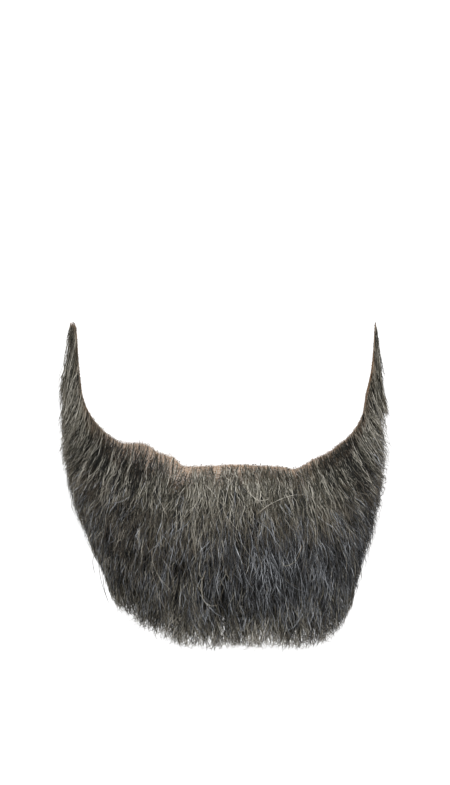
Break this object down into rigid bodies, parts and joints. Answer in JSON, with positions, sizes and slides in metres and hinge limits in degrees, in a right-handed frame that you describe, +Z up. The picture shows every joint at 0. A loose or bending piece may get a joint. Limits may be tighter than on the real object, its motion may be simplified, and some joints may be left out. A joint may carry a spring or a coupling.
{
  "type": "fake beard",
  "caption": "Full chin beard of grey false hair, hand knotted on a fine skin-toned net that runs along the jaw from sideburn to sideburn, worn without a moustache.",
  "frame": {"origin": "where the front of the chin touches the inside of the net", "axes": "+Z up, the wearer faces -Y, +X is the wearer's left"},
  "size_m": [0.161, 0.1111, 0.1513],
  "materials": {
    "lace_net": "matt skin-toned net",
    "grey_hair": "charcoal hair with silver strands, slightly glossy"
  },
  "bodies": {
    "root": {"lace_backing": "lace_net", "hair_sideburn_left": "grey_hair", "hair_sideburn_right": "grey_hair", "hair_jaw_left": "grey_hair", "hair_jaw_right": "grey_hair", "hair_chin": "grey_hair", "hair_under_jaw": "grey_hair"}
  },
  "joints": []
}
